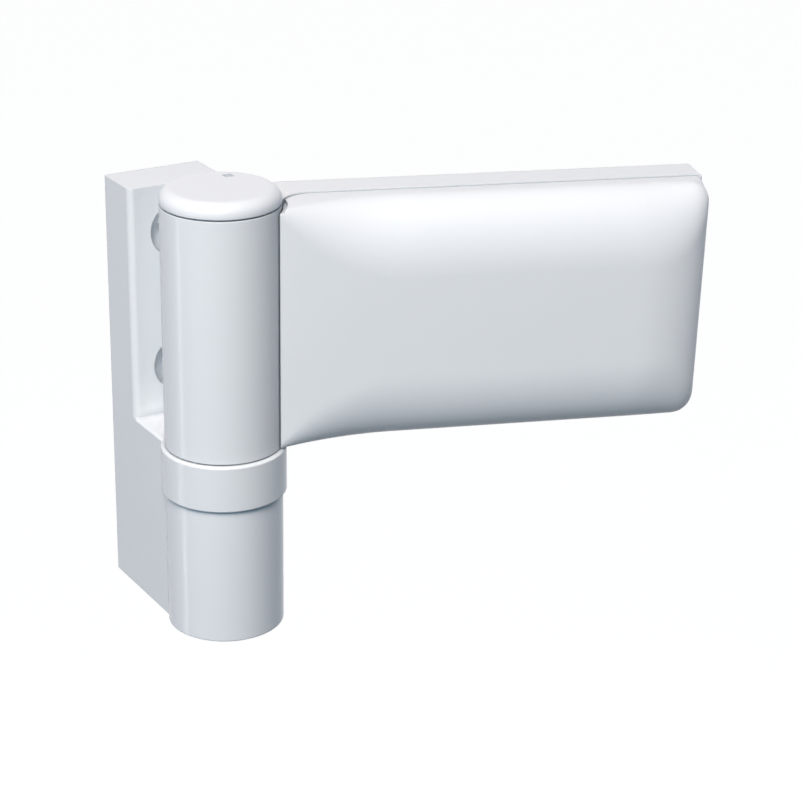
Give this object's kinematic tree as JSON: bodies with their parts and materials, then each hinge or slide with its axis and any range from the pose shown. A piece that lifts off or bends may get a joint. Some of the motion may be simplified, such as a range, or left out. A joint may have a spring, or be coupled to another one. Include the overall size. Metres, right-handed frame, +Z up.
{
  "type": "flag hinge",
  "caption": "Flag hinge for a door: frame bracket with a lower barrel, and a leaf with an upper barrel and a padded cover, adjustable in height and sideways.",
  "frame": {"origin": "centre of the frame bracket's flat back face", "axes": "+Z up along the hinge pin, +Y out of the bracket's back into the door frame, +X towards the leaf's free end"},
  "size_m": [0.1015, 0.0618, 0.086],
  "materials": {
    "painted_casting": "satin",
    "white_moulding": "satin",
    "pin_steel": "satin",
    "zinc_plated": "satin",
    "bush_plastic": "matte",
    "brass": "satin"
  },
  "bodies": {
    "frame": {"frame_bracket": "painted_casting", "lower_bush": "bush_plastic"},
    "pin": {"hinge_pin": "pin_steel"},
    "lift_screw": {"height_screw": "zinc_plated"},
    "leaf": {"leaf_body": "painted_casting", "leaf_bush_lower": "bush_plastic", "leaf_bush_upper": "bush_plastic", "thrust_pad": "brass", "top_cap": "white_moulding", "leaf_cover": "white_moulding"},
    "sash_plate": {"slide_plate": "zinc_plated", "adjuster_block": "brass", "clamp_screw_1": "zinc_plated", "clamp_washer_1": "zinc_plated", "clamp_screw_2": "zinc_plated", "clamp_washer_2": "zinc_plated"},
    "shift_screw": {"side_screw": "zinc_plated", "side_screw_ring": "zinc_plated"}
  },
  "joints": [
    {"name": "height_adjust", "type": "slide", "parent": "frame", "child": "pin", "axis": [0, 0, 1], "range_m": [0, 0.004]},
    {"name": "height_screw_turn", "type": "hinge", "parent": "pin", "child": "lift_screw", "pos_m": [0, -0.0283, 0], "axis": [0, 0, 1], "range_deg": [0, 1440.5]},
    {"name": "leaf_swing", "type": "hinge", "parent": "pin", "child": "leaf", "pos_m": [0, -0.0283, 0], "axis": [0, 0, -1], "range_deg": [-20, 160]},
    {"name": "side_adjust", "type": "slide", "parent": "leaf", "child": "sash_plate", "axis": [0.9397, -0.342, 0], "range_m": [-0.0025, 0.0025]},
    {"name": "side_screw_turn", "type": "hinge", "parent": "leaf", "child": "shift_screw", "pos_m": [0.05227, -0.04637, 0.01865], "axis": [0.9397, -0.342, 0], "range_deg": [-1286.5, 1286.5]}
  ],
  "couplings": [
    {"joint": "height_screw_turn", "follows": "height_adjust", "rad_per_m": 6283.2},
    {"joint": "side_screw_turn", "follows": "side_adjust", "rad_per_m": -8976}
  ]
}
